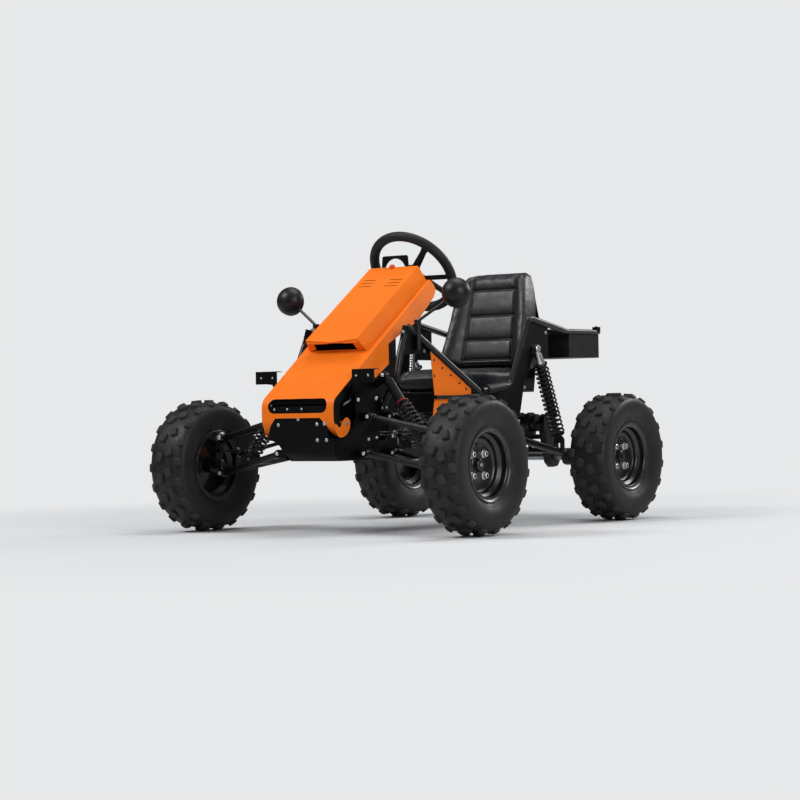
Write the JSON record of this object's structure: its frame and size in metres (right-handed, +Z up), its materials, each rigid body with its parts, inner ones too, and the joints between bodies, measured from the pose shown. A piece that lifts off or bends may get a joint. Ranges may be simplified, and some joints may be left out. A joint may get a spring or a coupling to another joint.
{
  "type": "off road go kart",
  "caption": "Off road go kart with wishbone front suspension, rear swing frame, coil-over shock absorbers, rack steering, padded seat and rear cargo rack.",
  "frame": {"origin": "on the ground under the middle of the part's bounding box", "axes": "+X towards the kart's left, +Y towards its rear, +Z up; it drives towards -Y"},
  "size_m": [1.502, 1.7784, 1.1992],
  "materials": {
    "tyre": "matte black rubber",
    "orange_sheet": "gloss orange powder coat",
    "black_steel": "satin black powder coat",
    "bright_steel": "bright zinc plate",
    "seat_vinyl": "soft black vinyl",
    "grip_foam": "matte black foam grip",
    "black_plastic": "moulded black",
    "motor_alloy": "dark cast alloy"
  },
  "bodies": {
    "chassis": {"front_chassis_box": "black_steel", "hood_panel": "orange_sheet", "hood_box": "orange_sheet", "dash_bracket": "black_steel", "side_frame_left": "black_steel", "side_frame_right": "black_steel", "side_panel_left": "orange_sheet", "side_panel_right": "orange_sheet", "rear_side_frame_left": "black_steel", "rear_side_frame_right": "black_steel", "rear_rack": "black_steel", "floor_frame": "black_steel", "seat_shell": "black_steel", "seat_back_cushion": "seat_vinyl", "seat_base_cushion": "seat_vinyl", "battery_box": "black_plastic", "rack_housing": "black_steel"},
    "steering": {"steering_wheel": "grip_foam", "steering_column": "bright_steel"},
    "lower_shaft": {"lower_steering_shaft": "bright_steel"},
    "rack": {"rack_bar": "bright_steel"},
    "swing": {"swing_frame": "black_steel", "drive_motor": "motor_alloy"},
    "rear_axle_set": {"rear_axle": "bright_steel", "rim_rear_left": "black_steel", "rim_rear_right": "black_steel", "tyre_rear_left": "tyre", "tyre_rear_right": "tyre"},
    "hand_lever": {"hand_lever": "bright_steel"},
    "lower_arm_left": {"lower_arm_left": "black_steel"},
    "upper_arm_left": {"upper_arm_left": "black_steel"},
    "ball_stud_left": {"lower_ball_stud_left": "bright_steel"},
    "knuckle_left": {"steering_knuckle_left": "black_steel"},
    "tie_rod_left": {"tie_rod_left": "black_steel"},
    "front_wheel_left": {"rim_front_left": "black_steel", "tyre_front_left": "tyre"},
    "front_shock_body_left": {"front_shock_body_left": "black_steel", "front_shock_spring_left": "black_steel"},
    "front_shock_shaft_left": {"front_shock_shaft_left": "bright_steel"},
    "rear_shock_body_left": {"rear_shock_body_left": "bright_steel", "rear_shock_spring_left": "black_steel"},
    "rear_shock_shaft_left": {"rear_shock_shaft_left": "bright_steel"},
    "mirror_left": {"mirror_left": "black_plastic"},
    "pedal_left": {"pedal_left": "bright_steel"},
    "lower_arm_right": {"lower_arm_right": "black_steel"},
    "upper_arm_right": {"upper_arm_right": "black_steel"},
    "ball_stud_right": {"lower_ball_stud_right": "bright_steel"},
    "knuckle_right": {"steering_knuckle_right": "black_steel"},
    "tie_rod_right": {"tie_rod_right": "black_steel"},
    "front_wheel_right": {"rim_front_right": "black_steel", "tyre_front_right": "tyre"},
    "front_shock_body_right": {"front_shock_body_right": "black_steel", "front_shock_spring_right": "black_steel"},
    "front_shock_shaft_right": {"front_shock_shaft_right": "bright_steel"},
    "rear_shock_body_right": {"rear_shock_body_right": "bright_steel", "rear_shock_spring_right": "black_steel"},
    "rear_shock_shaft_right": {"rear_shock_shaft_right": "bright_steel"},
    "mirror_right": {"mirror_right": "black_plastic"},
    "pedal_right": {"pedal_right": "bright_steel"}
  },
  "joints": [
    {"name": "steering_wheel_turn", "type": "hinge", "parent": "chassis", "child": "steering", "pos_m": [0, -0.07075, 1.042], "axis": [0, -0.7826, -0.6225], "range_deg": [-180, 180]},
    {"name": "lower_shaft_turn", "type": "hinge", "parent": "chassis", "child": "lower_shaft", "pos_m": [0, -0.39944, 0.78054], "axis": [0, -0.2969, -0.9549], "range_deg": [-180, 180]},
    {"name": "rack_slide", "type": "slide", "parent": "chassis", "child": "rack", "axis": [1, 0, 0], "range_m": [-0.0424, 0.0424]},
    {"name": "swing_frame_bump", "type": "hinge", "parent": "chassis", "child": "swing", "pos_m": [0, 0.11425, 0.368], "axis": [1, 0, 0], "range_deg": [0, 10], "stiffness_Nm_per_rad": 4000, "springref_deg": -8.59},
    {"name": "rear_axle_spin", "type": "hinge", "parent": "swing", "child": "rear_axle_set", "pos_m": [0, 0.59125, 0.2665], "axis": [1, 0, 0], "continuous": true},
    {"name": "hand_lever_swing", "type": "hinge", "parent": "chassis", "child": "hand_lever", "pos_m": [-0.25, 0.23425, 0.545], "axis": [-1, 0, 0], "range_deg": [-8, 25]},
    {"name": "lower_arm_bump_left", "type": "hinge", "parent": "chassis", "child": "lower_arm_left", "pos_m": [0.212, -0.59975, 0.314], "axis": [0, -1, 0], "range_deg": [0, 16], "stiffness_Nm_per_rad": 1500, "springref_deg": -8.59},
    {"name": "upper_arm_swing_left", "type": "hinge", "parent": "chassis", "child": "upper_arm_left", "pos_m": [0.212, -0.59425, 0.454], "axis": [0, -1, 0], "range_deg": [0, 16]},
    {"name": "ball_stud_rock_left", "type": "hinge", "parent": "lower_arm_left", "child": "ball_stud_left", "pos_m": [0.575, -0.62275, 0.235], "axis": [0, -1, 0], "range_deg": [-16, 0]},
    {"name": "knuckle_turn_left", "type": "hinge", "parent": "ball_stud_left", "child": "knuckle_left", "pos_m": [0.575, -0.62275, 0.235], "axis": [0, 0, -1], "range_deg": [-25.1, 25.1]},
    {"name": "tie_rod_swing_left", "type": "hinge", "parent": "rack", "child": "tie_rod_left", "pos_m": [0.212, -0.52275, 0.384], "axis": [0, -1, 0], "range_deg": [0, 16]},
    {"name": "front_wheel_spin_left", "type": "hinge", "parent": "knuckle_left", "child": "front_wheel_left", "pos_m": [0.662, -0.62275, 0.2665], "axis": [1, 0, 0], "continuous": true},
    {"name": "front_shock_tilt_left", "type": "hinge", "parent": "chassis", "child": "front_shock_body_left", "pos_m": [0.223, -0.58375, 0.613], "axis": [0, -1, 0], "range_deg": [0, 6.3]},
    {"name": "front_shock_stroke_left", "type": "slide", "parent": "front_shock_body_left", "child": "front_shock_shaft_left", "axis": [-0.5834, 0, 0.8122], "range_m": [0, 0.055], "deforming": ["front_shock_spring_left"]},
    {"name": "rear_shock_tilt_left", "type": "hinge", "parent": "chassis", "child": "rear_shock_body_left", "pos_m": [0.32, 0.35125, 0.723], "axis": [1, 0, 0], "range_deg": [0, 4.5]},
    {"name": "rear_shock_stroke_left", "type": "slide", "parent": "rear_shock_body_left", "child": "rear_shock_shaft_left", "axis": [0, -0.4017, 0.9158], "range_m": [0, 0.0645], "deforming": ["rear_shock_spring_left"]},
    {"name": "mirror_swing_left", "type": "hinge", "parent": "chassis", "child": "mirror_left", "pos_m": [0.252, -0.40075, 0.804], "axis": [0, 0, 1], "range_deg": [-15, 15]},
    {"name": "pedal_press_left", "type": "hinge", "parent": "chassis", "child": "pedal_left", "pos_m": [0.11, -0.35575, 0.33], "axis": [1, 0, 0], "range_deg": [0, 20], "stiffness_Nm_per_rad": 6, "springref_deg": -6.88},
    {"name": "lower_arm_bump_right", "type": "hinge", "parent": "chassis", "child": "lower_arm_right", "pos_m": [-0.212, -0.59975, 0.314], "axis": [0, 1, 0], "range_deg": [0, 16], "stiffness_Nm_per_rad": 1500, "springref_deg": -8.59},
    {"name": "upper_arm_swing_right", "type": "hinge", "parent": "chassis", "child": "upper_arm_right", "pos_m": [-0.212, -0.59425, 0.454], "axis": [0, 1, 0], "range_deg": [0, 16]},
    {"name": "ball_stud_rock_right", "type": "hinge", "parent": "lower_arm_right", "child": "ball_stud_right", "pos_m": [-0.575, -0.62275, 0.235], "axis": [0, 1, 0], "range_deg": [-16, 0]},
    {"name": "knuckle_turn_right", "type": "hinge", "parent": "ball_stud_right", "child": "knuckle_right", "pos_m": [-0.575, -0.62275, 0.235], "axis": [0, 0, -1], "range_deg": [-25.1, 25.1]},
    {"name": "tie_rod_swing_right", "type": "hinge", "parent": "rack", "child": "tie_rod_right", "pos_m": [-0.212, -0.52275, 0.384], "axis": [0, 1, 0], "range_deg": [0, 16]},
    {"name": "front_wheel_spin_right", "type": "hinge", "parent": "knuckle_right", "child": "front_wheel_right", "pos_m": [-0.662, -0.62275, 0.2665], "axis": [1, 0, 0], "continuous": true},
    {"name": "front_shock_tilt_right", "type": "hinge", "parent": "chassis", "child": "front_shock_body_right", "pos_m": [-0.223, -0.58375, 0.613], "axis": [0, 1, 0], "range_deg": [0, 6.3]},
    {"name": "front_shock_stroke_right", "type": "slide", "parent": "front_shock_body_right", "child": "front_shock_shaft_right", "axis": [0.5834, 0, 0.8122], "range_m": [0, 0.055], "deforming": ["front_shock_spring_right"]},
    {"name": "rear_shock_tilt_right", "type": "hinge", "parent": "chassis", "child": "rear_shock_body_right", "pos_m": [-0.32, 0.35125, 0.723], "axis": [1, 0, 0], "range_deg": [0, 4.5]},
    {"name": "rear_shock_stroke_right", "type": "slide", "parent": "rear_shock_body_right", "child": "rear_shock_shaft_right", "axis": [0, -0.4017, 0.9158], "range_m": [0, 0.0645], "deforming": ["rear_shock_spring_right"]},
    {"name": "mirror_swing_right", "type": "hinge", "parent": "chassis", "child": "mirror_right", "pos_m": [-0.252, -0.40075, 0.804], "axis": [0, 0, 1], "range_deg": [-15, 15]},
    {"name": "pedal_press_right", "type": "hinge", "parent": "chassis", "child": "pedal_right", "pos_m": [-0.11, -0.35575, 0.33], "axis": [1, 0, 0], "range_deg": [0, 20], "stiffness_Nm_per_rad": 6, "springref_deg": -6.88}
  ],
  "couplings": [
    {"joint": "lower_shaft_turn", "follows": "steering_wheel_turn", "ratio": 1},
    {"joint": "rack_slide", "follows": "steering_wheel_turn", "m_per_rad": 0.01345},
    {"joint": "upper_arm_swing_left", "follows": "lower_arm_bump_left", "ratio": 1},
    {"joint": "ball_stud_rock_left", "follows": "lower_arm_bump_left", "ratio": -1},
    {"joint": "tie_rod_swing_left", "follows": "lower_arm_bump_left", "ratio": 1},
    {"joint": "front_shock_tilt_left", "follows": "lower_arm_bump_left", "ratio": 0.391},
    {"joint": "front_shock_stroke_left", "follows": "lower_arm_bump_left", "m_per_rad": 0.1962},
    {"joint": "knuckle_turn_left", "follows": "steering_wheel_turn", "ratio": 0.13889},
    {"joint": "rear_shock_tilt_left", "follows": "swing_frame_bump", "ratio": 0.442},
    {"joint": "rear_shock_stroke_left", "follows": "swing_frame_bump", "m_per_rad": 0.3684},
    {"joint": "upper_arm_swing_right", "follows": "lower_arm_bump_right", "ratio": 1},
    {"joint": "ball_stud_rock_right", "follows": "lower_arm_bump_right", "ratio": -1},
    {"joint": "tie_rod_swing_right", "follows": "lower_arm_bump_right", "ratio": 1},
    {"joint": "front_shock_tilt_right", "follows": "lower_arm_bump_right", "ratio": 0.391},
    {"joint": "front_shock_stroke_right", "follows": "lower_arm_bump_right", "m_per_rad": 0.1962},
    {"joint": "knuckle_turn_right", "follows": "steering_wheel_turn", "ratio": 0.13889},
    {"joint": "rear_shock_tilt_right", "follows": "swing_frame_bump", "ratio": 0.442},
    {"joint": "rear_shock_stroke_right", "follows": "swing_frame_bump", "m_per_rad": 0.3684}
  ]
}
